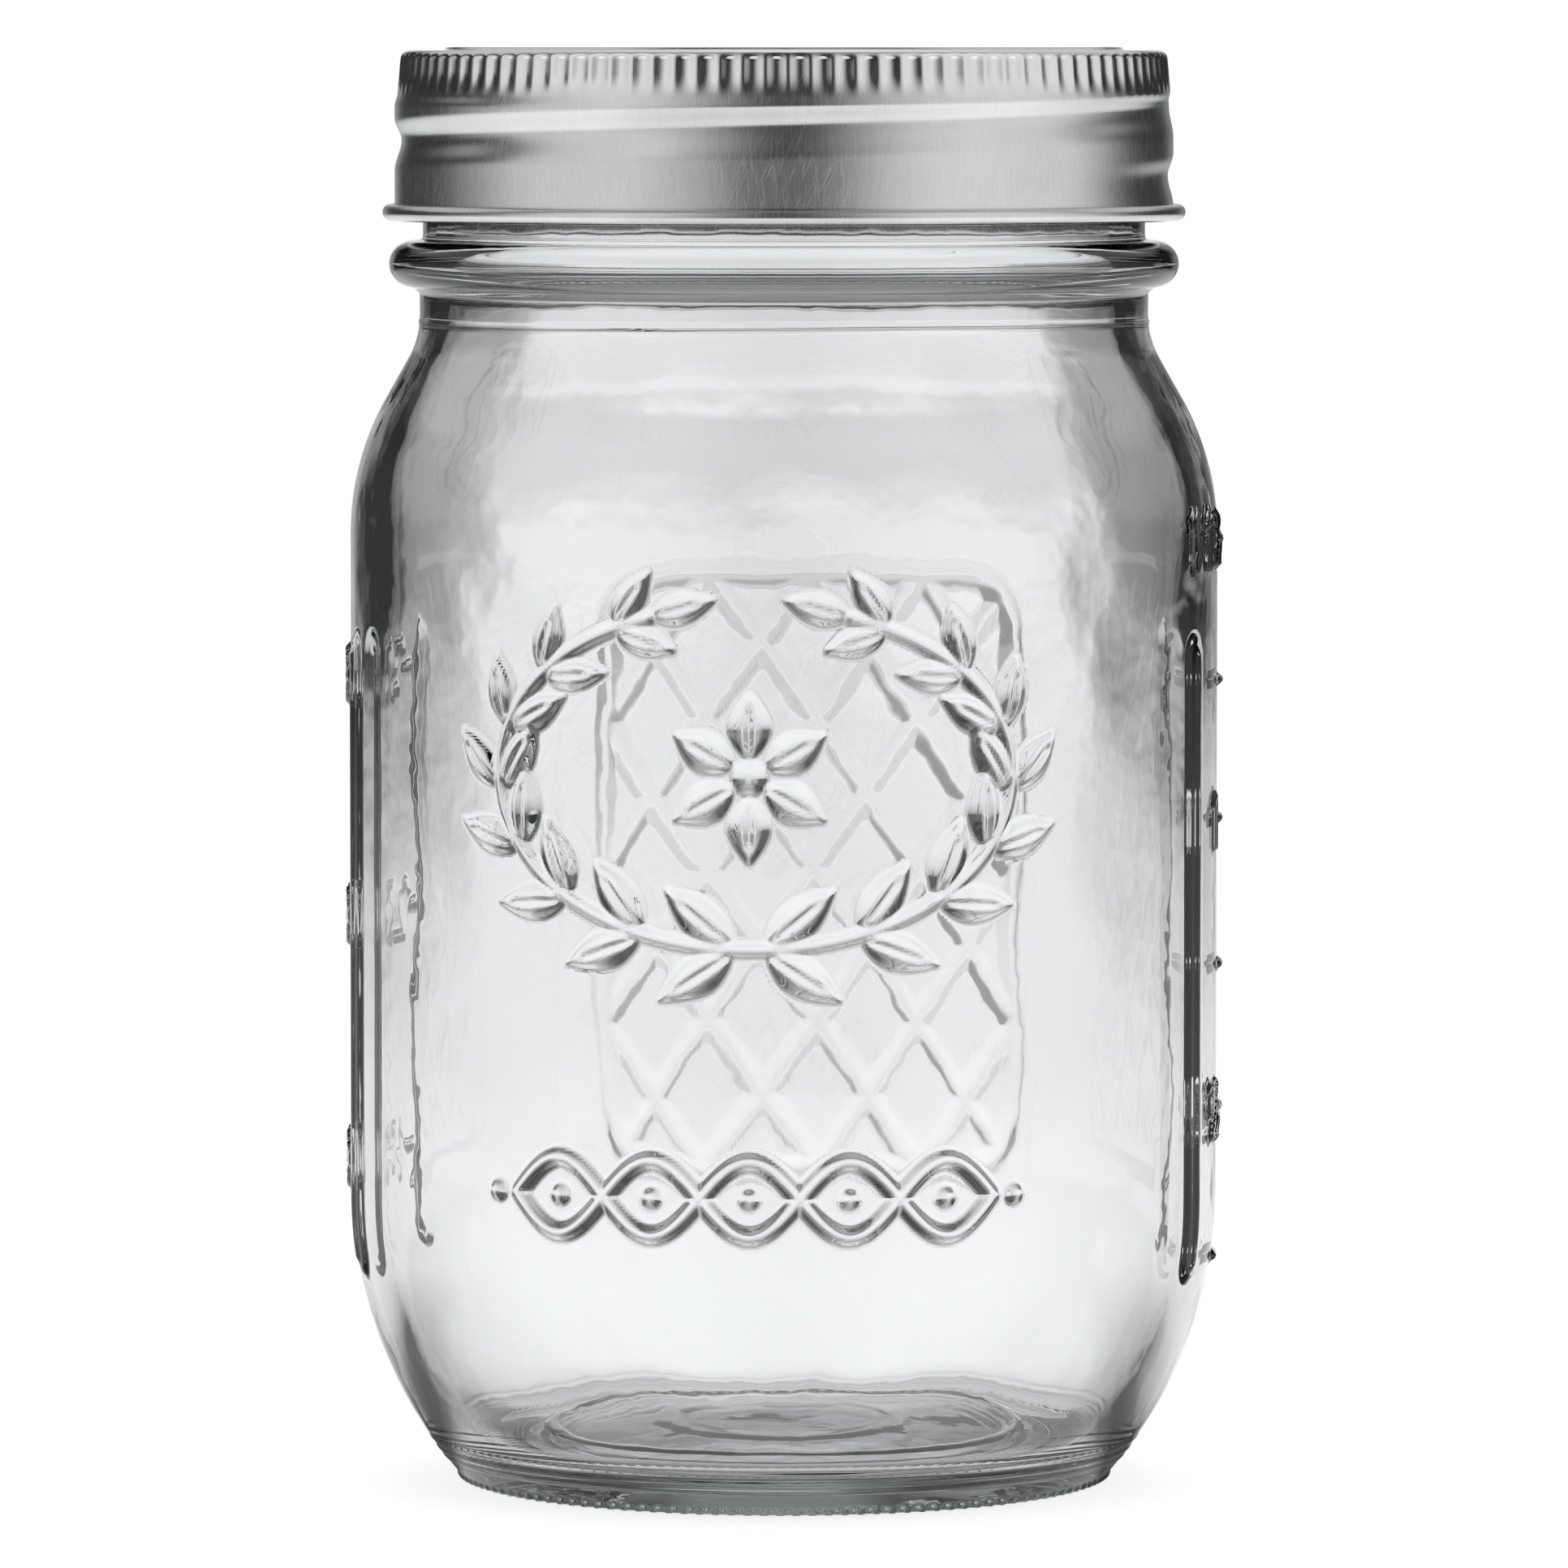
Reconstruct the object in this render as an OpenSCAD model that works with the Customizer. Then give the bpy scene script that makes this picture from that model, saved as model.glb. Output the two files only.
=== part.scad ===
// Pint canning jar with a regular 70 mm mouth: a pressed glass jar, and its two-piece closure of
// a flat tinplate lid with a sealing ring and a fluted screw band with a rolled lower edge.
// Millimetres, +Z up. The origin is on the jar's axis in the plane that it stands on, and
// the jar's front faces -Y.

/* [Glass jar] */
// Diameter of the straight body
body_d = 80.8; // [79:0.1:83]
// Height of the glass up to its sealing rim
jar_h = 131.9; // [128:0.1:136]
// Wall thickness of the body and shoulder
wall = 3.1; // [2.2:0.1:3.4]
// Outside diameter of the plain finish above the transfer ring
finish_d = 67.2; // [66.5:0.1:67.8]
// Outside diameter of the neck below the transfer ring
neck_d = 67.8; // [67:0.1:69]
// Bore of the mouth
mouth_d = 60.4; // [59:0.1:61]
// Bore at the foot of the neck, up to which the mouth widens
bore_d = 62; // [61.2:0.1:63]

/* [Shoulder and ring] */
// Radius of the convex curve of the shoulder
shoulder_r = 26; // [24:0.5:27]
// Height at which the shoulder leaves the straight body
shoulder_z = 88.2; // [86:0.1:89]
// Radius of the hollow curve between shoulder and neck
neck_fillet = 8; // [6:0.5:9]
// Height at which the hollow curve reaches the neck
neck_z = 108.6; // [108:0.1:109.5]
// Height of the middle of the transfer ring
ring_z = 113.4; // [113:0.1:114]
// Diameter of the transfer ring
ring_d = 73.5; // [72:0.1:74]
// Radius of the transfer ring's round section
ring_r = 2.15; // [1.8:0.05:2.4]
// Height of the short cone under the transfer ring
ring_cone_h = 0.6; // [0.3:0.1:0.9]

/* [Heel and base] */
// Radius of the long curve of the heel
heel_r = 41; // [38:0.5:43]
// Height at which the heel leaves the straight body
heel_z = 27.4; // [26:0.1:28]
// Radius of the small corner between heel and bearing ring
corner_r = 1.8; // [1.2:0.1:2.4]
// Width of the flat ring that the jar stands on
bearing_w = 3.4; // [2.5:0.1:4.5]
// Step from the bearing ring into the recessed base
base_step = 0.8; // [0.4:0.1:1.2]
// Height of the recessed base at its middle
push_up = 2.2; // [1.4:0.1:3]
// Height of the inside floor at its edge
floor_z = 4.4; // [4:0.1:5]
// Rise of the inside floor towards its middle
floor_rise = 1.6; // [0.5:0.1:2.2]
// Radius of the inside corner between floor and wall
cove_r = 3.5; // [3:0.5:6]

/* [Side ribs] */
// Angle of each rib from the front or the back
rib_angle = 73.5; // [65:0.5:80]
// Height of a rib above the body
rib_h = 0.7; // [0.4:0.1:1]
// Radius of a rib's round section
rib_r = 4.2; // [3:0.1:5]
// Height of the lower end of the ribs
rib_bottom = 17.6; // [16:0.2:22]
// Height of the upper end of the ribs
rib_top = 81.6; // [70:0.2:84]

/* [Lid and seal] */
// Diameter of the flat lid
lid_d = 68.2; // [67.5:0.1:68.6]
// Thickness of the lid's tinplate
lid_t = 0.25; // [0.2:0.01:0.3]
// Depth of the lid's turned-down edge
lid_skirt = 0.55; // [0.4:0.05:0.55]
// Thickness of the sealing ring
seal_t = 0.6; // [0.55:0.05:0.8]
// Inside diameter of the sealing ring
seal_in_d = 61.6; // [61:0.1:62]
// Outside diameter of the sealing ring
seal_out_d = 66.6; // [66:0.1:66.8]
// Drop from the lid's channel to its flat part
panel_drop = 0.45; // [0.3:0.05:0.5]
// Diameter of the raised middle panel
panel_d = 47; // [40:0.5:52]
// Rise of the middle panel
panel_rise = 0.35; // [0.2:0.05:0.4]
// Diameter of the snap dome in the middle of the panel
dome_d = 27; // [20:0.5:32]
// Rise of the snap dome
dome_rise = 0.4; // [0.2:0.05:0.45]

/* [Screw band] */
// Outside diameter of the band's plain wall
band_d = 72.4; // [72.2:0.1:73]
// Thickness of the band's tinplate
band_t = 0.35; // [0.3:0.01:0.4]
// Diameter of the opening in the band's top
opening_d = 62.2; // [61:0.1:63]
// Height of the turned-up lip round the opening
lip_h = 0.3; // [0.2:0.05:0.4]
// Radius of the band's top corner
band_corner = 0.8; // [0.6:0.05:1]
// Diameter of the fluted wall at the top corner
flute_top_d = 71.3; // [71.1:0.1:71.5]
// Diameter of the fluted wall at its lower end
flute_bottom_d = 71.9; // [71.6:0.1:72]
// Number of flutes
flutes = 108; // [90:1:114]
// Length of a flute
flute_l = 3.4; // [2.5:0.1:4]
// Depth of a flute at its upper end
flute_depth = 0.22; // [0.1:0.01:0.25]
// Radius of a flute's section
flute_r = 0.8; // [0.6:0.05:1]
// Height of the middle of the rolled lower edge
curl_z = 118.2; // [117.8:0.1:118.6]
// Outside radius of the rolled lower edge
curl_r = 0.75; // [0.65:0.05:0.8]

/* [Hidden] */
$fn = 128;

// Room left between pieces that lift or turn apart
gap = 0.05;

// A circular stretch of outline from angle a0 to a1, in n chords
function arc(c, r, a0, a1, n) =
    [for (i = [0:n]) let (a = a0 + (a1 - a0) * i / n) [c[0] + r * cos(a), c[1] + r * sin(a)]];

// A shallow dome from the axis, rise above z, out to its edge at [r, z]
function dome(r, z, rise, n) =
    let (ball = (r * r + rise * rise) / (2 * rise))
    arc([0, z + rise - ball], ball, 90, acos(r / ball), n);

// The same outline from its other end
function back(points) = [for (i = [len(points) - 1:-1:0]) points[i]];

body_r = body_d / 2;
finish_r = finish_d / 2;
neck_r = neck_d / 2;
mouth_r = mouth_d / 2;
bore_r = bore_d / 2;

// The heel's centre, and the angles at which its curve meets the corners outside and inside
heel_c = [body_r - heel_r, heel_z];
heel_a = asin((heel_z - corner_r) / (heel_r - corner_r));
bearing_r = heel_c[0] + (heel_r - corner_r) * cos(heel_a);
recess_r = bearing_r - bearing_w;
inner_heel_r = heel_r - wall;
inner_heel_a = asin((heel_z - floor_z - cove_r) / (inner_heel_r - cove_r));
floor_r = heel_c[0] + (inner_heel_r - cove_r) * cos(inner_heel_a);

// The shoulder's convex and hollow curves, and the slopes of the lines that touch both
shoulder_c = [body_r - shoulder_r, shoulder_z];
fillet_c = [neck_r + neck_fillet, neck_z];
run = fillet_c - shoulder_c;
slope = atan2(run[1], run[0]) - acos((shoulder_r + neck_fillet) / norm(run));
inner_fillet = fillet_c[0] - bore_r;
inner_slope = atan2(run[1], run[0]) - acos((shoulder_r - wall + inner_fillet) / norm(run));

// The transfer ring's centre and top, the height above it at which the mouth begins to widen,
// and the rounding of the rim outside and inside
ring_c = [ring_d / 2 - ring_r, ring_z];
ring_top = ring_z + ring_r;
mouth_taper = 5.4;
rim_out_r = 1.3;
rim_in_r = 1.2;

// The stack of seal, lid and band above the rim
seal_z = jar_h + gap;
lid_z = seal_z + seal_t;
flange_z = lid_z + lid_t + gap;
band_top = flange_z + band_t;

// Small forms of the lid and the seal
lid_edge_r = 0.5;
panel_step_w = 1;
channel_step_w = 1;
seal_round = 0.3;

// The band's section: end of the flutes, step to the plain wall, curl and lip
band_r = band_d / 2;
corner_c = [flute_top_d / 2 - band_corner, band_top - band_corner];
flute_z = corner_c[1] - flute_l;
step_z = flute_z - 0.8;
curl_c = [band_r - band_t + curl_r, curl_z];
curl_end = 360 + 112;
lip_r = opening_d / 2;
lip_z = band_top + lip_h;
lip_w = 0.4;

module glass_jar() {
    color([0.84, 0.90, 0.88, 0.45])
    difference() {
        union() {
            rotate_extrude() polygon(jar_outside());
            side_ribs();
        }
        rotate_extrude() polygon(jar_inside());
    }
}

// Base, heel, body, shoulder, neck, transfer ring, finish and rim, from the axis out and up
function jar_outside() = concat(
    dome(recess_r - base_step, base_step, push_up - base_step, 6),
    [[recess_r, 0]],
    arc([bearing_r, corner_r], corner_r, -90, -heel_a, 4),
    arc(heel_c, heel_r, -heel_a, 0, 14),
    arc(shoulder_c, shoulder_r, 0, slope, 9),
    arc(fillet_c, neck_fillet, 180 + slope, 180, 6),
    [[neck_r, ring_z - ring_r - ring_cone_h]],
    arc(ring_c, ring_r, -90, 90, 14),
    [[finish_r, ring_top]],
    arc([finish_r - rim_out_r, jar_h - rim_out_r], rim_out_r, 0, 90, 5),
    [[0, jar_h]]
);

// The cavity, from the floor up through the mouth
function jar_inside() = concat(
    dome(floor_r, floor_z, floor_rise, 6),
    arc([floor_r, floor_z + cove_r], cove_r, -90, -inner_heel_a, 7),
    arc(heel_c, inner_heel_r, -inner_heel_a, 0, 12),
    arc(shoulder_c, shoulder_r - wall, 0, inner_slope, 9),
    arc(fillet_c, inner_fillet, 180 + inner_slope, 180, 6),
    [[mouth_r, ring_top + mouth_taper]],
    arc([mouth_r + rim_in_r, jar_h - rim_in_r], rim_in_r, 180, 90, 5),
    [[mouth_r + rim_in_r, jar_h + 1], [0, jar_h + 1]]
);

// Two upright ribs at each side of the body, round in section and at both ends
module side_ribs() {
    for (face = [-90, 90], lean = [-rib_angle, rib_angle])
        rotate(face + lean)
            translate([body_r + rib_h - rib_r, 0, 0])
                rotate_extrude() polygon(rib_outline());
}

function rib_outline() = concat(
    arc([0, rib_bottom + rib_r], rib_r, -90, 0, 8),
    arc([0, rib_top - rib_r], rib_r, 0, 90, 8)
);

module lid_disc() {
    color("silver")
    rotate_extrude() polygon(concat(lid_sheet(lid_t), back(lid_sheet(0))));
}

// One face of the lid's sheet, t above its underside: snap dome, raised panel, step down,
// channel over the seal and turned-down edge
function lid_sheet(t) =
    let (
        flat_z = lid_z + t - panel_drop,
        edge_c = [lid_d / 2 - lid_edge_r, lid_z + lid_t - lid_edge_r],
        edge_r = lid_edge_r - lid_t + t
    )
    concat(
        dome(dome_d / 2, flat_z + panel_rise, dome_rise, 5),
        [[panel_d / 2, flat_z + panel_rise]],
        [[panel_d / 2 + panel_step_w, flat_z]],
        [[seal_in_d / 2 - lid_t - channel_step_w, flat_z]],
        [[seal_in_d / 2 - lid_t, lid_z + t]],
        arc(edge_c, edge_r, 90, 0, 4),
        [[edge_c[0] + edge_r, lid_z - lid_skirt]]
    );

// The sealing compound that fills the lid's channel and presses on the rim
module sealing_ring() {
    color([0.36, 0.35, 0.33])
    rotate_extrude()
        difference() {
            translate([seal_in_d / 2, seal_z]) square([(seal_out_d - seal_in_d) / 2, seal_t]);
            for (d = [seal_in_d, seal_out_d]) translate([d / 2, seal_z]) circle(seal_round);
        }
}

module screw_band() {
    color("gainsboro")
    difference() {
        rotate_extrude() polygon(band_section());
        flute_cuts();
    }
}

// The band's sheet from the lip over the outside to the curl, and back up the inside
function band_section() = concat(
    [[lip_r, lip_z - lip_h / 2], [lip_r + lip_h / 3, lip_z]],
    [[lip_r + lip_h, lip_z], [lip_r + lip_w, band_top]],
    arc(corner_c, band_corner, 90, 0, 5),
    [[flute_bottom_d / 2, flute_z], [band_r, step_z]],
    arc(curl_c, curl_r - band_t, 180, curl_end, 16),
    arc(curl_c, curl_r, curl_end, 180, 20),
    [[band_r - band_t, step_z], [flute_bottom_d / 2 - band_t, flute_z]],
    arc(corner_c, band_corner - band_t, 0, 90, 3),
    [[lip_r + lip_w - lip_h, flange_z]]
);

// Flutes pressed into the upper wall, leaning so that each runs out at its lower end
module flute_cuts() {
    fall = (flute_bottom_d - flute_top_d) / 2;
    lean = atan((flute_depth + fall) / flute_l);
    for (i = [0:flutes - 1])
        rotate(i * 360 / flutes)
            translate([flute_bottom_d / 2 + flute_r, 0, flute_z])
                rotate([0, -lean, 0])
                    cylinder(r = flute_r, h = flute_l + 2 * band_corner);
}

glass_jar();
lid_disc();
sealing_ring();
screw_band();
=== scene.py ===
import math
import bpy
import numpy as np
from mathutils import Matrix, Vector


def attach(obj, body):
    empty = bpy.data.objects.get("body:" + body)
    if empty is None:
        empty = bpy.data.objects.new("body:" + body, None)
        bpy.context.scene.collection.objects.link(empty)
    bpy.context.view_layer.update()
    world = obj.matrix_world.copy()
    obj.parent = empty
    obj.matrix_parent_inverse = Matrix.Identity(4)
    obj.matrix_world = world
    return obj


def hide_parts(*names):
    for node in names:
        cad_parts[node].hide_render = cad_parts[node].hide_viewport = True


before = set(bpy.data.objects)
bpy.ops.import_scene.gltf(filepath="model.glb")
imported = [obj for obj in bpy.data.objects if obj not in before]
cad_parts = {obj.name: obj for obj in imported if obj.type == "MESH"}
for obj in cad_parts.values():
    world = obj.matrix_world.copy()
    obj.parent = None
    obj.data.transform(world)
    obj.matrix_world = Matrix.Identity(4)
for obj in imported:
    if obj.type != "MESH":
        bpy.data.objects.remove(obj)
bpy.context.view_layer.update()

# Every CAD node is replaced by a finer mesh of the same size
# Outlines are pairs of radius and height in millimetres
# Angles round the axis are degrees from the front, towards +X
MM = 0.001
# The photograph is taken from this far round
PHOTO_TURN = 4.4

# Glass jar, as in the CAD model
BODY_R = 40.4
WALL = 3.1
JAR_H = 131.9
FINISH_R = 33.6
NECK_R = 33.9
MOUTH_R = 30.2
SHOULDER_R = 26.0
SHOULDER_Z = 88.2
NECK_FILLET = 8.0
NECK_Z = 108.6
RING_R = 2.15
RING_CENTRE = (34.6, 113.4)
RING_CONE = 0.6
HEEL_R = 41.0
HEEL_Z = 27.4
CORNER_R = 1.8
BEARING_W = 3.4
BASE_STEP = 0.8
PUSH_UP = 2.2
FLOOR_Z = 4.4
FLOOR_RISE = 1.6
COVE_R = 3.5
RIM_OUT_R = 1.3
BORE_R = 31.0
RIM_IN_R = 1.2
RIB_ANGLE = 73.5
RIB_H = 0.7
RIB_R = 4.2
RIB_ENDS = (17.6, 81.6)
# The mouth widens below this height, 0.05 above where it does in the CAD model
BORE_Z = 121.0
# Only here: a fillet above the transfer ring, and closer rows below this height of the heel
FINISH_FILLET = 0.4
FOOT_Z = 6.0
# Only here: a fine groove along each side of a rib's crest, and soft edges
RIB_GROOVE_AT = 0.95
RIB_GROOVE_HALF = 0.65
RIB_GROOVE_DEPTH = 0.13
RIB_SOFTNESS = 0.1
RIB_SINK = 0.02

# Closure, as in the CAD model
LID_Z = 132.55
LID_T = 0.25
LID_R = 34.1
LID_EDGE_R = 0.5
LID_SKIRT = 0.55
SEAL_Z = 131.95
SEAL_R = (30.8, 33.3)
SEAL_ROUND = 0.3
BAND_R = 36.2
BAND_T = 0.35
BAND_TOP = 133.2
LIP_R = 31.1
LIP_H = 0.3
LIP_W = 0.4
CORNER_BAND = (34.85, 132.4)
CORNER_BAND_R = 0.8
FLUTE_R = 35.95
FLUTE_Z = 129.0
STEP_Z = 128.2
CURL_CENTRE = (36.6, 118.2)
CURL_R = 0.75
CURL_END = 472

# Screw thread: rise of a turn, start angle, height of the band's groove, and glass thread above it
PITCH = 6.35
THREAD_FROM = 90 + PHOTO_TURN
GROOVE_Z = 121.7
THREAD_OFFSET = 2.0


def arc(centre, radius, start, end):
    """Points of a circular stretch of outline, about a tenth of a millimetre apart."""
    count = max(3, int(abs(math.radians(end - start)) * radius / 0.1) + 1)
    a = np.radians(np.linspace(start, end, count))
    return np.column_stack((centre[0] + radius * np.cos(a), centre[1] + radius * np.sin(a)))


def dome(radius, z, rise):
    """A shallow dome from the axis out to its edge at height z."""
    ball = (radius * radius + rise * rise) / (2 * rise)
    return arc((0, z + rise - ball), ball, 90, math.degrees(math.acos(radius / ball)))


def resample(points, step):
    """The same line with its points evenly spaced, about step apart."""
    points = np.asarray(points, float)
    gaps = np.hypot(*np.diff(points, axis=0).T)
    along = np.concatenate(([0], np.cumsum(gaps)))
    even = np.linspace(0, along[-1], max(2, round(along[-1] / step) + 1))
    return np.column_stack([np.interp(even, along, points[:, k]) for k in (0, 1)])


def chain(sections, passes=2):
    """One outline from (points, step) sections, with its corners slightly rounded."""
    parts = [resample(points, step) for points, step in sections]
    line = np.concatenate([parts[0]] + [part[1:] for part in parts[1:]])
    for _ in range(passes):
        line[1:-1] = (line[:-2] + 2 * line[1:-1] + line[2:]) / 4
    return line


def normals(line):
    """Unit normals of an outline, to the right of its direction."""
    run = np.gradient(line, axis=0)
    run /= np.hypot(run[:, 0], run[:, 1])[:, None]
    return np.column_stack((run[:, 1], -run[:, 0]))


def smooth_step(x):
    """An even passage from 0 to 1."""
    x = np.clip(x, 0, 1)
    return x * x * (3 - 2 * x)


def wrap(angle):
    """The same angle between -180 and 180 degrees."""
    return (np.asarray(angle) + 180) % 360 - 180


def spin(radius, height, turn):
    """World points in metres of rings given by radius, height and angle from the front."""
    a = np.radians(turn)
    return np.stack((radius * np.sin(a), -radius * np.cos(a), height + 0 * a), axis=-1) * MM


def ring_quads(first, rows, columns, closed=False, flipped=False):
    """Quads between rings from a first vertex on; closed joins the last ring to the first."""
    index = first + np.arange(rows * columns).reshape(rows, columns)
    if closed:
        index = np.concatenate((index, index[:1]))
    beside = np.roll(index, -1, axis=1)
    corners = (index[:-1], beside[:-1], beside[1:], index[1:])
    if flipped:
        corners = (index[:-1], index[1:], beside[1:], beside[:-1])
    return np.stack(corners, axis=-1).reshape(-1, 4).tolist()


def ring_fan(pole, first, columns, upward):
    """Triangles from a pole to a ring."""
    ring = first + np.arange(columns)
    beside = np.roll(ring, -1)
    pair = (ring, beside) if upward else (beside, ring)
    return np.stack((np.full(columns, pole), *pair), axis=-1).tolist()


def add_piece(name, points, faces, body, node, materials):
    """A smooth mesh piece that replaces a CAD node and rides on its body."""
    mesh = bpy.data.meshes.new(name)
    mesh.from_pydata(points.tolist(), [], faces)
    mesh.validate()
    mesh.shade_smooth()
    for material in materials:
        mesh.materials.append(material)
    piece = bpy.data.objects.new(name, mesh)
    bpy.context.scene.collection.objects.link(piece)
    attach(piece, body)
    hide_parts(node)
    return piece


class Nodes:
    """Short calls for building a node tree."""

    def __init__(self, owner):
        owner.use_nodes = True
        self.tree = owner.node_tree
        self.tree.nodes.clear()

    def add(self, kind, settings=None, **inputs):
        """A node; an underscore stands for the space in the name of an input."""
        made = self.tree.nodes.new(kind)
        for key, value in (settings or {}).items():
            setattr(made, key, value)
        for key, value in inputs.items():
            self.feed(made.inputs[key.replace("_", " ")], value)
        return made

    def feed(self, socket, value):
        """Link another node's output to the socket, or set a plain value."""
        if isinstance(value, bpy.types.NodeSocket):
            self.tree.links.new(value, socket)
        else:
            socket.default_value = value

    def math(self, operation, *values):
        made = self.tree.nodes.new("ShaderNodeMath")
        made.operation = operation
        for socket, value in zip(made.inputs, values):
            self.feed(socket, value)
        return made.outputs[0]

    def plus(self, first, second):
        return self.math("ADD", first, second)

    def minus(self, first, second):
        return self.math("SUBTRACT", first, second)

    def times(self, first, second):
        return self.math("MULTIPLY", first, second)

    def larger(self, first, second):
        return self.math("MAXIMUM", first, second)

    def bearing(self, x, y):
        """Angle round the axis from the front, in radians."""
        return self.math("ARCTAN2", x, self.times(y, -1.0))

    def mirrored(self, rays):
        """1 for what metal and glass show, 0 for what the camera sees and what lights the scene."""
        return self.larger(rays["Is Glossy Ray"], rays["Is Transmission Ray"])

    def ramp(self, factor, stops):
        """Greys or colours between the stops, which are pairs of place and tone."""
        made = self.tree.nodes.new("ShaderNodeValToRGB")
        elements = made.color_ramp.elements
        while len(elements) < len(stops):
            elements.new(1.0)
        for element, (place, tone) in zip(elements, stops):
            element.position = place
            element.color = (*tone, 1) if isinstance(tone, tuple) else (tone, tone, tone, 1)
        self.feed(made.inputs[0], factor)
        return made.outputs[0]

    def noise(self, vector, scale, detail=2.0, roughness=0.5):
        made = self.add("ShaderNodeTexNoise", Vector=vector, Scale=scale, Detail=detail,
                        Roughness=roughness)
        return made.outputs[0]

    def stretched(self, vector, scale):
        return self.add("ShaderNodeMapping", Vector=vector, Scale=scale).outputs[0]

    def mix_shader(self, factor, first, second):
        made = self.add("ShaderNodeMixShader")
        for socket, value in zip(made.inputs, (factor, first.outputs[0], second.outputs[0])):
            self.feed(socket, value)
        return made


GLASS_TINT = ((0.3, (0.98, 0.985, 0.99)), (0.7, (0.99, 0.998, 1.0)))
GLASS_DEPTH = (0.24, 0.31, 0.29, 1)


def glass_material():
    """Clear soda-lime glass with a faint grey-green tint and a slightly wavy skin."""
    material = bpy.data.materials.new("clear_glass")
    nodes = Nodes(material)
    place = nodes.add("ShaderNodeTexCoord").outputs["Object"]
    waves = nodes.noise(place, 90.0, detail=3.0)
    bump = nodes.add("ShaderNodeBump", Strength=0.12, Distance=0.0006, Height=waves)
    tint = nodes.ramp(nodes.noise(place, 60.0), GLASS_TINT)
    shader = nodes.add("ShaderNodeBsdfPrincipled", Base_Color=tint, Roughness=0.0, IOR=1.5,
                       Transmission_Weight=1.0, Normal=bump.outputs[0])
    depth = nodes.add("ShaderNodeVolumeAbsorption", Color=GLASS_DEPTH, Density=22.0)
    nodes.add("ShaderNodeOutputMaterial", Surface=shader.outputs[0], Volume=depth.outputs[0])
    return material


# Scratches in the sheet: how far they lean, and how many there are to a metre across and along
SCRATCHES = ((0.06, 9000, 230), (0.45, 9500, 300), (-0.12, 8500, 200))
SCRATCH_EDGE = ((0.62, 0.0), (0.74, 1.0))
SCRATCH_TONE = 0.12
SCRATCH_ROUGH = 0.06
SCRATCH_BUMP = 1.1
GRAIN = (7000, 260, 1)
GRAIN_TONE = 0.5
GRAIN_ROUGH = 0.12
GRAIN_BUMP = 1.5
CLOUD_TONE = 0.5
TIN_ROUGH = 0.17
TIN_TONES = ((0.35, (0.70, 0.715, 0.715)), (0.65, (0.80, 0.815, 0.815)))
# A rolled wall is polished from the first of these heights in metres, and fully from the second
POLISH_FROM = 0.1290
POLISH_FULL = 0.1302
POLISH_RANGE = 0.2
POLISH_SMOOTH = 0.18
POLISHED_TIN = (0.86, 0.87, 0.87, 1)


def tinplate_material(name, rolled):
    """Bright tinplate with fine scratches: up a rolled wall, or straight across a flat sheet."""
    material = bpy.data.materials.new(name)
    nodes = Nodes(material)
    place = nodes.add("ShaderNodeTexCoord").outputs["Object"]
    x, y, z = nodes.add("ShaderNodeSeparateXYZ", Vector=place).outputs
    across, along = x, y
    if rolled:
        across, along = nodes.times(nodes.bearing(x, y), BAND_R * MM), z
    hairs = []
    for lean, width, length in SCRATCHES:
        leaning = nodes.minus(across, nodes.times(along, lean))
        plane = nodes.add("ShaderNodeCombineXYZ", X=leaning, Y=along, Z=lean)
        line = nodes.noise(nodes.stretched(plane.outputs[0], (width, length, 1)), 1.0, detail=1.0)
        hairs.append(nodes.ramp(line, SCRATCH_EDGE))
    scratch = nodes.larger(nodes.larger(hairs[0], hairs[1]), hairs[2])
    plane = nodes.add("ShaderNodeCombineXYZ", X=across, Y=along)
    fine = nodes.stretched(plane.outputs[0], GRAIN)
    grain = nodes.noise(fine, 1.0, detail=3.0, roughness=0.6)
    cloud = nodes.noise(place, 130.0, detail=3.0)
    mottle = nodes.plus(nodes.times(cloud, CLOUD_TONE), nodes.times(grain, GRAIN_TONE))
    mottle = nodes.plus(mottle, nodes.times(scratch, SCRATCH_TONE))
    tone = nodes.ramp(mottle, TIN_TONES)
    rough = nodes.plus(nodes.times(grain, GRAIN_ROUGH), TIN_ROUGH)
    rough = nodes.plus(rough, nodes.times(scratch, SCRATCH_ROUGH))
    if rolled:
        edge = [(POLISH_FROM / POLISH_RANGE, 0.0), (POLISH_FULL / POLISH_RANGE, 1.0)]
        polish = nodes.ramp(nodes.times(z, 1 / POLISH_RANGE), edge)
        bright = nodes.add("ShaderNodeMix", {"data_type": "RGBA"})
        nodes.feed(bright.inputs[0], polish)
        nodes.feed(bright.inputs[6], tone)
        nodes.feed(bright.inputs[7], POLISHED_TIN)
        tone = bright.outputs[2]
        rough = nodes.minus(rough, nodes.times(polish, POLISH_SMOOTH))
    height = nodes.minus(nodes.times(grain, GRAIN_BUMP), nodes.times(scratch, SCRATCH_BUMP))
    bump = nodes.add("ShaderNodeBump", Strength=0.2, Distance=0.00001, Height=height)
    shader = nodes.add("ShaderNodeBsdfPrincipled", Base_Color=tone, Metallic=1.0, Roughness=rough,
                       Normal=bump.outputs[0])
    nodes.add("ShaderNodeOutputMaterial", Surface=shader.outputs[0])
    return material


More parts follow.
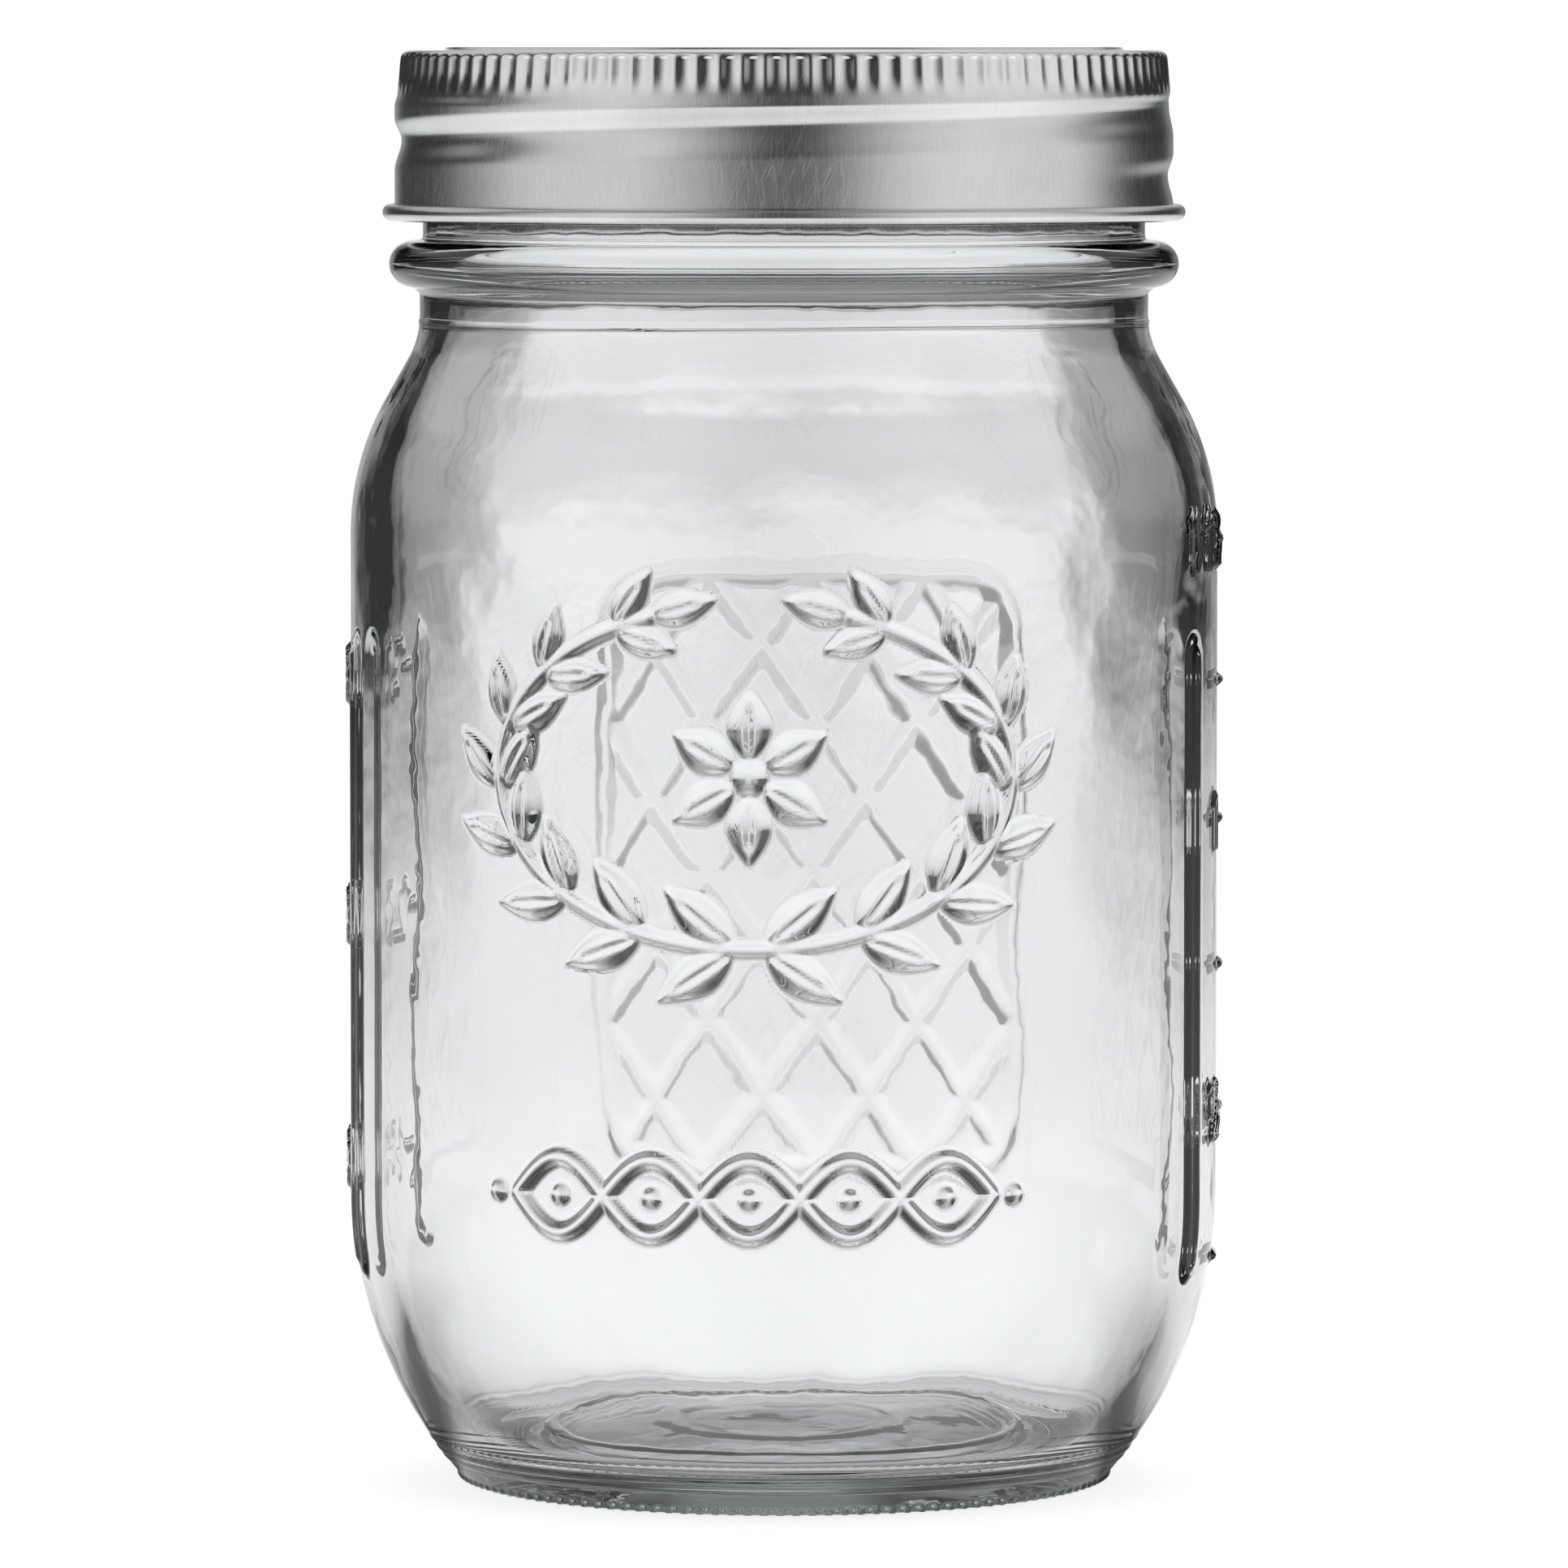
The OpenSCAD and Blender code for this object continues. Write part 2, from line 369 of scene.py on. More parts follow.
def coated_material(name, dark, pale, roughness, scale):
    """A sprayed or moulded coat with slight mottling and a pebbled skin."""
    material = bpy.data.materials.new(name)
    nodes = Nodes(material)
    place = nodes.add("ShaderNodeTexCoord").outputs["Object"]
    tone = nodes.ramp(nodes.noise(place, scale, detail=4.0), [(0.3, dark), (0.7, pale)])
    pebble = nodes.noise(place, scale * 8)
    bump = nodes.add("ShaderNodeBump", Strength=0.2, Distance=0.0001, Height=pebble)
    shader = nodes.add("ShaderNodeBsdfPrincipled", Base_Color=tone, Roughness=roughness,
                       Normal=bump.outputs[0])
    nodes.add("ShaderNodeOutputMaterial", Surface=shader.outputs[0])
    return material


def rounded(x):
    """Section of a pressed line: 1 on its middle, 0 at its edge."""
    return np.clip(1 - x * x, 0, 1) ** 1.3


# Shape of a leaf: how soon it is widest, and its vein's half width, depth and fading end
LEAF_SWELL = 0.85
VEIN_HALF = 0.3
VEIN_DEPTH = 0.5
VEIN_END = 0.85
VEIN_FADE = 0.2
THINNEST = 1e-3


class Relief:
    """Height of the pressed design over the unrolled body, in millimetres."""

    def __init__(self, turn, up):
        self.turn = turn
        self.up = up
        self.height = np.zeros((len(up), len(turn)))
        self.face(0)

    def face(self, angle):
        """Draw from here on round the side that faces this angle."""
        self.across = np.radians(wrap(self.turn - angle)) * BODY_R

    def window(self, low, high):
        """The part of the height field between two corners, with its places across and up."""
        columns = np.flatnonzero((self.across >= low[0]) & (self.across <= high[0]))
        rows = np.flatnonzero((self.up >= low[1]) & (self.up <= high[1]))
        return np.ix_(rows, columns), self.across[columns][None, :], self.up[rows][:, None]

    def lift(self, spot, height):
        self.height[spot] = np.maximum(self.height[spot], height)

    def stroke(self, points, half_width, height):
        """A rounded line along the points."""
        points = np.asarray(points, float)
        spot, u, z = self.window(points.min(0) - half_width, points.max(0) + half_width)
        nearest = np.full(np.broadcast(u, z).shape, np.inf)
        for (u0, z0), (u1, z1) in zip(points[:-1], points[1:]):
            du, dz = u1 - u0, z1 - z0
            part = np.clip(((u - u0) * du + (z - z0) * dz) / (du * du + dz * dz), 0, 1)
            nearest = np.minimum(nearest, np.hypot(u - u0 - part * du, z - z0 - part * dz))
        self.lift(spot, height * rounded(nearest / half_width))

    def dot(self, centre, radius, height):
        """A round boss."""
        centre = np.asarray(centre, float)
        spot, u, z = self.window(centre - radius, centre + radius)
        self.lift(spot, height * rounded(np.hypot(u - centre[0], z - centre[1]) / radius))

    def leaf(self, root, tip, half_width, height):
        """A pointed leaf with a hollow vein."""
        root, tip = np.asarray(root, float), np.asarray(tip, float)
        axis = tip - root
        length = np.hypot(*axis)
        low, high = np.minimum(root, tip) - half_width, np.maximum(root, tip) + half_width
        spot, u, z = self.window(low, high)
        along = ((u - root[0]) * axis[0] + (z - root[1]) * axis[1]) / length ** 2
        aside = ((z - root[1]) * axis[0] - (u - root[0]) * axis[1]) / length
        spread = np.sin(math.pi * np.clip(along, 0, 1) ** LEAF_SWELL)
        edge = half_width * np.maximum(spread, THINNEST)
        vein = VEIN_DEPTH * np.exp(-(aside / VEIN_HALF) ** 2)
        vein = 1 - vein * smooth_step((VEIN_END - along) / VEIN_FADE)
        self.lift(spot, height * rounded(aside / edge) * np.sqrt(spread) * vein)


def oval(centre, half_wide, half_high, start, end, count):
    """Points of an oval, with angles in degrees from its right end."""
    a = np.radians(np.linspace(start, end, count))
    return np.column_stack((centre[0] + half_wide * np.cos(a), centre[1] + half_high * np.sin(a)))


def unit(way):
    return way / np.hypot(*way)


# Raised lines and leaves are pairs of half width and height, and raised dots of radius and height
WREATH_CENTRE = (0.0, 68.0)
WREATH_HALF = (24.5, 15.5)
WREATH_FOOT = -104
WREATH_GAP = 22
STEM_LINE = (0.75, 0.65)
STEM_POINTS = 60
# Leaves a side, the stem points of the first and the last, and how much smaller the last is
LEAVES = 8
LEAF_SPAN = (6, 56)
LEAF_SHRINK = 0.25
LEAF_ROOT = 0.3
LEAF_AHEAD = 6.6
LEAF_OUT = 5.2
LEAF_SIZE = (2.0, 1.15)
TIP_LENGTH = 6.5
TIP_SIZE = (1.6, 1.1)
PETALS = 6
PETAL_SPAN = (1.6, 8.0)
PETAL_SIZE = (2.1, 1.1)
BLOSSOM_BOSS = (1.8, 1.1)


def front_wreath(relief):
    """Two leafy sprigs that cross at the foot and part at the top, round a small blossom."""
    relief.face(0)
    wide, high = WREATH_HALF
    for side in (-1, 1):
        stem = oval(WREATH_CENTRE, side * wide, high, WREATH_FOOT, 90 - WREATH_GAP, STEM_POINTS)
        relief.stroke(stem, *STEM_LINE)
        for i in range(LEAVES):
            share = i / (LEAVES - 1)
            k = int(LEAF_SPAN[0] + (LEAF_SPAN[1] - LEAF_SPAN[0]) * share)
            ahead = unit(stem[k + 1] - stem[k])
            out = np.array((ahead[1], -ahead[0])) * side
            grow = 1 - LEAF_SHRINK * share
            half_width, height = LEAF_SIZE
            for way in (-1, 1):
                tip = stem[k] + (ahead * LEAF_AHEAD + out * way * LEAF_OUT) * grow
                relief.leaf(stem[k] + out * way * LEAF_ROOT, tip, half_width * grow, height)
        relief.leaf(stem[-1], stem[-1] + unit(stem[-1] - stem[-2]) * TIP_LENGTH, *TIP_SIZE)
    blossom(relief, WREATH_CENTRE)


def blossom(relief, centre):
    """A round flower of leaf-shaped petals with a boss in its middle."""
    for i in range(PETALS):
        a = math.radians(90 + 360 * i / PETALS)
        way = np.array((math.cos(a), math.sin(a)))
        relief.leaf(centre + way * PETAL_SPAN[0], centre + way * PETAL_SPAN[1], *PETAL_SIZE)
    relief.dot(centre, *BLOSSOM_BOSS)


BRAID_Z = 30.0
BRAID_LOOPS = 5
BRAID_PITCH = 9.0
BRAID_SWING = 3.4
BRAID_LINE = (0.95, 0.85)
BRAID_DOT = (1.1, 0.7)
BRAID_END_GAP = 2.4


def front_braid(relief):
    """A plain two-strand braid below the wreath."""
    half = BRAID_LOOPS * BRAID_PITCH / 2
    u = np.linspace(-half, half, 120)
    for side in (-1, 1):
        z = BRAID_Z + side * BRAID_SWING * np.sin(math.pi * (u + half) / BRAID_PITCH)
        relief.stroke(np.column_stack((u, z)), *BRAID_LINE)
        relief.dot((side * (half + BRAID_END_GAP), BRAID_Z), *BRAID_DOT)
    for i in range(BRAID_LOOPS):
        relief.dot((-half + (i + 0.5) * BRAID_PITCH, BRAID_Z), *BRAID_DOT)


PANEL_HALF = (22.0, 29.0)
PANEL_Z = 54.0
PANEL_CORNER = 7.0
FRAME_LINE = (1.4, 0.38)
LATTICE = (11.0, 14.5)
LATTICE_REACH = 6
LATTICE_LINE = (1.3, 0.26)


def back_panel(relief):
    """A quilted panel in a frame with round corners."""
    relief.face(180)
    wide, high = PANEL_HALF[0] - PANEL_CORNER, PANEL_HALF[1] - PANEL_CORNER
    corners = [(wide, high, 0), (-wide, high, 90), (-wide, -high, 180), (wide, -high, 270)]
    border = [oval((u, PANEL_Z + z), PANEL_CORNER, PANEL_CORNER, a, a + 90, 14)
              for u, z, a in corners]
    relief.stroke(np.concatenate(border + [border[0][:1]]), *FRAME_LINE)
    for k in range(-LATTICE_REACH, LATTICE_REACH + 1):
        for lean in (-1, 1):
            lattice_line(relief, k, lean)


def lattice_line(relief, k, lean):
    """One slanting line of the lattice, from edge to edge of the panel."""
    u = np.linspace(-PANEL_HALF[0], PANEL_HALF[0], 90)
    z = lean * u * LATTICE[1] / LATTICE[0] + k * LATTICE[1]
    wide = np.maximum(np.abs(u) - (PANEL_HALF[0] - PANEL_CORNER), 0)
    high = np.maximum(np.abs(z) - (PANEL_HALF[1] - PANEL_CORNER), 0)
    keep = np.hypot(wide, high) < PANEL_CORNER
    if keep.sum() > 1:
        relief.stroke(np.column_stack((u[keep], PANEL_Z + z[keep])), *LATTICE_LINE)


def digit_lines(digit):
    """Centre lines of a plain digit in a box 0.6 wide and 1 high."""
    if digit == "0":
        return [oval((0.3, 0.5), 0.3, 0.5, 0, 360, 25)]
    if digit == "1":
        return [[(0.1, 0.78), (0.34, 1.0), (0.34, 0.0)]]
    if digit == "2":
        top = oval((0.3, 0.72), 0.29, 0.28, 165, -35, 14)
        return [np.concatenate((top, [(0.02, 0.0), (0.6, 0.0)]))]
    upper = oval((0.29, 0.75), 0.27, 0.25, 155, -80, 14)
    lower = oval((0.29, 0.27), 0.31, 0.27, 80, -155, 14)
    return [np.concatenate((upper, lower))]


DIGIT_LINE = (0.48, 0.5)
DIGIT_STEP = 0.85
DIGIT_MARGIN = 0.12
FRACTION_BAR = (0.42, 0.5)


def number(relief, text, centre, size):
    """Plain raised digits side by side."""
    step = DIGIT_STEP * size
    left = centre[0] - step * len(text) / 2 + DIGIT_MARGIN * size
    for i, digit in enumerate(text):
        for line in digit_lines(digit):
            points = np.asarray(line) * size + (left + i * step, centre[1] - size / 2)
            relief.stroke(points, *DIGIT_LINE)


def half_sign(relief, centre, size):
    """The fraction one half, as two small digits and a slanting bar."""
    u, z = centre
    bar = [(u - size * 0.3, z - size / 2), (u + size * 0.3, z + size / 2)]
    relief.stroke(bar, *FRACTION_BAR)
    number(relief, "1", (u - size * 0.42, z + size * 0.2), size * 0.6)
    number(relief, "2", (u + size * 0.42, z - size * 0.2), size * 0.6)


# Heights of the filling marks at the right and at the left, and where marks and numbers stand
SCALE_RIGHT = (21.0, 35.0, 48.3, 61.9, 74.8, 88.0)
SCALE_LEFT = ((30.1, "100"), (52.8, "200"), (75.3, "300"))
MARK_LINE = (0.6, 0.6)
MARK_RIGHT = -0.5
MARK_RIGHT_ENDS = (4.5, 3.5)
MARK_LEFT = (-8.5, -6.2)
NUMBER_SIZE = 5.0
HALF_SIZE = 5.2
SMALL_HALF_SIZE = 4.6


def side_scales(relief):
    """Filling marks and plain numbers between the ribs at each side."""
    relief.face(90)
    for i, z in enumerate(SCALE_RIGHT):
        relief.stroke([(MARK_RIGHT, z), (MARK_RIGHT_ENDS[i % 2], z)], *MARK_LINE)
    half_sign(relief, (-4.4, SCALE_RIGHT[1]), HALF_SIZE)
    number(relief, "1", (-4.2, SCALE_RIGHT[3]), NUMBER_SIZE)
    number(relief, "1", (-6.6, SCALE_RIGHT[5]), NUMBER_SIZE)
    half_sign(relief, (-3.2, SCALE_RIGHT[5]), SMALL_HALF_SIZE)
    relief.face(-90)
    for z, text in SCALE_LEFT:
        number(relief, text, (1.0, z), NUMBER_SIZE)
        relief.stroke([(MARK_LEFT[0], z), (MARK_LEFT[1], z)], *MARK_LINE)


def rib_height(turn, up):
    """Two upright ribs at each side of the body, round in section and at both ends."""
    height = np.zeros((len(up), len(turn)))
    low, high = RIB_ENDS[0] + RIB_R, RIB_ENDS[1] - RIB_R
    past = np.maximum(up - high, 0) + np.maximum(low - up, 0)
    for angle in (-180 + RIB_ANGLE, -RIB_ANGLE, RIB_ANGLE, 180 - RIB_ANGLE):
        aside = np.radians(wrap(turn - angle)) * BODY_R
        off = np.hypot(aside[None, :], past[:, None])
        rise = np.sqrt(np.maximum(RIB_R ** 2 - off ** 2, 0)) - (RIB_R - RIB_H)
        rise -= RIB_GROOVE_DEPTH * rounded((off - RIB_GROOVE_AT) / RIB_GROOVE_HALF)
        height = np.maximum(height, (rise + np.hypot(rise, RIB_SOFTNESS)) / 2 - RIB_SINK)
    return height


# Glass thread: start and end along the turn with the length of its fading, then its section
THREAD_RUN = (-80, 310, 35)
THREAD_H = 1.9
THREAD_HALF = 1.5
THREAD_FLANK = 0.95


def helix(turn, lowest, highest, fade):
    """Turned angle along the thread and its strength, for each of the turns a column meets."""
    for whole in (-1, 0, 1):
        along = (turn - THREAD_FROM) % 360 + 360 * whole
        strength = smooth_step((along - lowest) / fade) * smooth_step((highest - along) / fade)
        yield along, strength


def thread_height(turn, up):
    """The screw thread on the finish."""
    height = np.zeros((len(up), len(turn)))
    for along, strength in helix(turn, *THREAD_RUN):
        middle = GROOVE_Z + THREAD_OFFSET + PITCH * along / 360
        off = np.abs(up[:, None] - middle[None, :])
        ridge = THREAD_H * strength * smooth_step((THREAD_HALF - off) / THREAD_FLANK)
        height = np.maximum(height, ridge)
    return height


# Columns round the jar from -180 on, as pairs of a sector's end and its step
COLUMN_STEPS = (
    (-140, 0.5), (-111, 0.7), (-102, 0.3), (-78, 0.45), (-69, 0.3), (-48, 0.7), (48, 0.36),
    (69, 0.7), (78, 0.3), (102, 0.45), (111, 0.3), (140, 0.7), (180, 0.5),
)
# The inside has one column for this many of the outside, whose number is a multiple of it
INNER_EVERY = 3
# The outline of the inside starts this far out on the rim
RIM_LAP = 0.3


def jar_columns():
    """Column angles, closer together where the pressed design is fine."""
    parts = []
    start = -180
    for end, step in COLUMN_STEPS:
        even_step = (end - start) / round((end - start) / step)
        parts.append(np.arange(start, end - step / 2, even_step))
        start = end
    return np.concatenate(parts)


def jar_outlines():
    """Outlines of the glass: outside from the base to the rim, and inside back to the floor."""
    heel_centre = (BODY_R - HEEL_R, HEEL_Z)
    heel_a = math.degrees(math.asin((HEEL_Z - CORNER_R) / (HEEL_R - CORNER_R)))
    foot_a = math.degrees(math.asin((HEEL_Z - FOOT_Z) / HEEL_R))
    bearing_r = heel_centre[0] + (HEEL_R - CORNER_R) * math.cos(math.radians(heel_a))
    recess_r = bearing_r - BEARING_W
    in_r = HEEL_R - WALL
    in_a = math.degrees(math.asin((HEEL_Z - FLOOR_Z - COVE_R) / (in_r - COVE_R)))
    floor_r = heel_centre[0] + (in_r - COVE_R) * math.cos(math.radians(in_a))
    shoulder = (BODY_R - SHOULDER_R, SHOULDER_Z)
    fillet = (NECK_R + NECK_FILLET, NECK_Z)
    run = (fillet[0] - shoulder[0], fillet[1] - shoulder[1])
    climb = math.atan2(run[1], run[0])
    slope = math.degrees(climb - math.acos((SHOULDER_R + NECK_FILLET) / math.hypot(*run)))
    in_reach = SHOULDER_R - WALL + fillet[0] - BORE_R
    in_slope = math.degrees(climb - math.acos(in_reach / math.hypot(*run)))
    ring_top = RING_CENTRE[1] + RING_R
    ring_low = RING_CENTRE[1] - RING_R
    outside = chain([
        (dome(recess_r - BASE_STEP, BASE_STEP, PUSH_UP - BASE_STEP), 1.2),
        ([(recess_r - BASE_STEP, BASE_STEP), (recess_r, 0), (bearing_r, 0)], 0.2),
        (arc((bearing_r, CORNER_R), CORNER_R, -90, -heel_a), 0.1),
        (arc(heel_centre, HEEL_R, -heel_a, -foot_a), 0.12),
        (arc(heel_centre, HEEL_R, -foot_a, 0), 0.3),
        ([(BODY_R, HEEL_Z), (BODY_R, SHOULDER_Z)], 0.28),
        (arc(shoulder, SHOULDER_R, 0, slope), 0.4),
        (arc(fillet, NECK_FILLET, 180 + slope, 180), 0.25),
        ([(NECK_R, NECK_Z), (NECK_R, ring_low - RING_CONE), (RING_CENTRE[0], ring_low)], 0.15),
        (arc(RING_CENTRE, RING_R, -90, 90), 0.2),
        (arc((FINISH_R + FINISH_FILLET, ring_top + FINISH_FILLET), FINISH_FILLET, 270, 180), 0.15),
        ([(FINISH_R, ring_top + FINISH_FILLET), (FINISH_R, JAR_H - RIM_OUT_R)], 0.22),
        (arc((FINISH_R - RIM_OUT_R, JAR_H - RIM_OUT_R), RIM_OUT_R, 0, 90), 0.15),
    ])
    inside = chain([
        ([(MOUTH_R + RIM_IN_R + RIM_LAP, JAR_H), (MOUTH_R + RIM_IN_R, JAR_H)], 0.3),
        (arc((MOUTH_R + RIM_IN_R, JAR_H - RIM_IN_R), RIM_IN_R, 90, 180), 0.2),
        ([(MOUTH_R, JAR_H - RIM_IN_R), (MOUTH_R, BORE_Z), (BORE_R, NECK_Z)], 0.6),
        (arc(fillet, fillet[0] - BORE_R, 180, 180 + in_slope), 0.6),
        (arc(shoulder, SHOULDER_R - WALL, in_slope, 0), 0.8),
        ([(BODY_R - WALL, SHOULDER_Z), (BODY_R - WALL, HEEL_Z)], 1.0),
        (arc(heel_centre, in_r, 0, -in_a), 0.8),
        (arc((floor_r, FLOOR_Z + COVE_R), COVE_R, -in_a, -90), 0.5),
        (dome(floor_r, FLOOR_Z, FLOOR_RISE)[::-1], 0.3),
    ])
    return outside, inside


# Wave vectors in turns per millimetre, and phases in turns, of the unevenness of the glass
WAVES = (
    (0.031, 0.012, 0.017, 0.05), (-0.014, 0.036, 0.023, 0.27), (0.047, -0.029, 0.011, 0.66),
    (0.022, 0.041, -0.035, 0.41), (-0.058, 0.019, 0.029, 0.83), (0.009, -0.063, 0.041, 0.12),
    (0.071, 0.033, 0.052, 0.55),
)


def ripple(points, pace):
    """Smooth unevenness between -1 and 1 over points in space; pace shortens its waves."""
    height = np.zeros(points.shape[:-1])
    for *way, phase in WAVES:
        height += np.sin(2 * math.pi * (points @ np.array(way) * pace / MM + phase))
    return height / len(WAVES)


def design_height(turn, up):
    """The raised design and the ribs on the body."""
    relief = Relief(turn, up)
    front_wreath(relief)
    front_braid(relief)
    back_panel(relief)
    side_scales(relief)
    return relief.height + rib_height(turn, up)


BASE_WAVES = 0.04
BASE_PACE = 2.4
BASE_CALM_R = 6
BASE_RINGS = (11.0, 21.5)
BASE_RING_LINE = (0.9, 0.22)


def base_height(line, turn):
    """Unevenness and two raised rings of the recessed base."""
    plain = spin(line[:, 0, None], line[:, 1, None], turn[None, :])
    calm = smooth_step(line[:, 0] / BASE_CALM_R)[:, None]
    height = BASE_WAVES * ripple(plain, BASE_PACE) * calm
    half_width, rise = BASE_RING_LINE
    for radius in BASE_RINGS:
        height += rise * rounded((line[:, 0] - radius) / half_width)[:, None]
    return height


# Rings of raised dots on the corner of the foot, by place along it and shift in dots
DOTS_ROUND = 126
CORNER_ROWS = ((0.45, 0.2), (1.05, 0.7), (1.65, 0.2))
CORNER_ROWS_R = 29.5
CORNER_DOT = (0.55, 0.3)
# Rings of sunk dots in the bearing ring, by radius and shift in dots
BEARING_ROWS = ((26.4, 0.7), (27.4, 0.2), (28.4, 0.7))
BEARING_DOT = (0.55, 0.28)


def dot_ring(turn, radius, shift, aside, dot):
    """Height of a ring of dots, for columns at an angle and rows at a distance aside from it."""
    size, height = dot
    pitch = 360 / DOTS_ROUND
    off = np.radians(((turn / pitch + shift + 0.5) % 1 - 0.5) * pitch) * radius
    return height * rounded(np.hypot(off[None, :], aside[:, None]) / size)


# Limits of the zones of the outside, in height and in radius
DESIGN_Z = (9, 96)
FINISH_Z = 117
HEEL_TOP = 8
BEARING_TOP = 0.2
BASE_TOP = PUSH_UP + 0.1
WALL_FROM_R = 33
CORNER_FROM_R = 28.5
BEARING_FROM_R = 25.5
BASE_TO_R = 26
# Mould lines: a wavering one at the foot of the neck, and three low ones on the heel
PARTING_Z = 108.2
PARTING_DRIFT = 0.18
PARTING_SHIFT = 40
PARTING_LINE = (0.3, 0.10)
HEEL_LINES = ((2.35, 0.09), (3.15, 0.10), (4.1, 0.07))
HEEL_LINE_HALF = 0.35


def outside_height(line, turn):
    """How far the glass stands out from its plain outline."""
    out, z = line.T
    height = np.zeros((len(line), len(turn)))
    wall = out > WALL_FROM_R
    body = np.flatnonzero(wall & (z > DESIGN_Z[0]) & (z < DESIGN_Z[1]))
    height[body] = design_height(turn, z[body])
    finish = np.flatnonzero(wall & (z > FINISH_Z))
    height[finish] = thread_height(turn, z[finish])
    half_width, rise = PARTING_LINE
    parting = PARTING_Z + PARTING_DRIFT * np.sin(np.radians(2 * turn + PARTING_SHIFT))
    height += rise * rounded((z[:, None] - parting[None, :]) / half_width) * wall[:, None]
    base = np.flatnonzero((z < BASE_TOP) & (out < BASE_TO_R))
    height[base] += base_height(line[base], turn)
    corner = np.flatnonzero((z < CORNER_R) & (out > CORNER_FROM_R))
    run = np.concatenate(([0], np.cumsum(np.hypot(*np.diff(line[corner], axis=0).T))))
    for along, shift in CORNER_ROWS:
        height[corner] += dot_ring(turn, CORNER_ROWS_R, shift, run - along, CORNER_DOT)
    bearing = np.flatnonzero((z < BEARING_TOP) & (out > BEARING_FROM_R))
    for radius, shift in BEARING_ROWS:
        height[bearing] -= dot_ring(turn, radius, shift, out[bearing] - radius, BEARING_DOT)
    heel = np.flatnonzero((z > CORNER_R) & (z < HEEL_TOP) & (out > CORNER_FROM_R))
    for up, rise in HEEL_LINES:
        height[heel] += rise * rounded((z[heel] - up) / HEEL_LINE_HALF)[:, None]
    return height


# Unevenness of the inside on its wall and on its floor
WALL_WAVES = 0.09
FLOOR_WAVES = 0.13
# Upper end and length of the passage from floor to wall, and of the fading towards the mouth
FLOOR_PASSAGE = (24, 14)
MOUTH_PASSAGE = (118, 26)
FLOOR_RING_R = 21.6
FLOOR_RING_LINE = (0.8, 0.22)
FLOOR_RING_TOP = 12


def waviness(points):
    """Slow unevenness of a glass surface that no mould has touched, from its plain points."""
    up = points[..., 2] / MM
    out = np.hypot(points[..., 0], points[..., 1]) / MM
    floor_share = smooth_step((FLOOR_PASSAGE[0] - up) / FLOOR_PASSAGE[1])
    strength = WALL_WAVES + (FLOOR_WAVES - WALL_WAVES) * floor_share
    calm = smooth_step((MOUTH_PASSAGE[0] - up) / MOUTH_PASSAGE[1])
    half_width, rise = FLOOR_RING_LINE
    ridge = rise * rounded((out - FLOOR_RING_R) / half_width) * (up < FLOOR_RING_TOP)
    return ripple(points, 1.0) * strength * calm + ridge


def raised(line, height):
    """Radius and height of an outline's points after a lift along its normals."""
    face = normals(line)
    return line[:, 0, None] + face[:, 0, None] * height, line[:, 1, None] + face[:, 1, None] * height


def build_jar(material):
    """One closed skin of glass: the outside up to the rim, and the inside down to the floor."""
    turn = jar_columns()
    inner_turn = turn[::INNER_EVERY]
    outside, inside = jar_outlines()
    radius, up = raised(outside, outside_height(outside, turn))
    outer = spin(radius, np.maximum(up, 0), turn[None, :])[1:]
    uneven = waviness(spin(inside[:, 0, None], inside[:, 1, None], inner_turn[None, :]))
    radius, up = raised(inside, uneven)
    inner = spin(radius, up, inner_turn[None, :])[:-1]
    base_pole = (0, 0, outside[0, 1] * MM)
    floor_pole = (0, 0, (inside[-1, 1] + uneven[-1].mean()) * MM)
    points = np.concatenate(([base_pole], outer.reshape(-1, 3), inner.reshape(-1, 3), [floor_pole]))
    columns, inner_columns = len(turn), len(inner_turn)
    rim = 1 + (len(outer) - 1) * columns
    first_inner = rim + columns
    last_inner = first_inner + (len(inner) - 1) * inner_columns
    faces = ring_fan(0, 1, columns, False)
    faces += ring_quads(1, len(outer), columns)
    for j in range(inner_columns):
        edge = [rim + (INNER_EVERY * j + k) % columns for k in range(INNER_EVERY + 1)]
        faces.append(edge + [first_inner + (j + 1) % inner_columns, first_inner + j])
    faces += ring_quads(first_inner, len(inner), inner_columns)
    faces += ring_fan(len(points) - 1, last_inner, inner_columns, True)
    return add_piece("glass_jar_body", points, faces, "jar", "glass_jar", [material])


# Flutes, with fading ends as place and length: down from the top, up from a height, out from a radius
FLUTES = 108
FLUTE_DEPTH = 0.24
FLUTE_FLATNESS = 0.6
FLUTE_TOP = (0.15, 0.7)
FLUTE_FOOT = (128.7, 2.6)
FLUTE_OUT = (34.2, 0.6)
# Rolled groove, with its fading ends likewise: up from the curl's centre, and down from a height
GROOVE_RUN = (-45, 395, 60)
GROOVE_DEPTH = 0.65
GROOVE_UP = 2.0
GROOVE_DOWN = 2.9
GROOVE_FOOT = (0.2, 0.8)
GROOVE_TOP = (129.8, 1.4)
BAND_COLUMNS = 8 * FLUTES


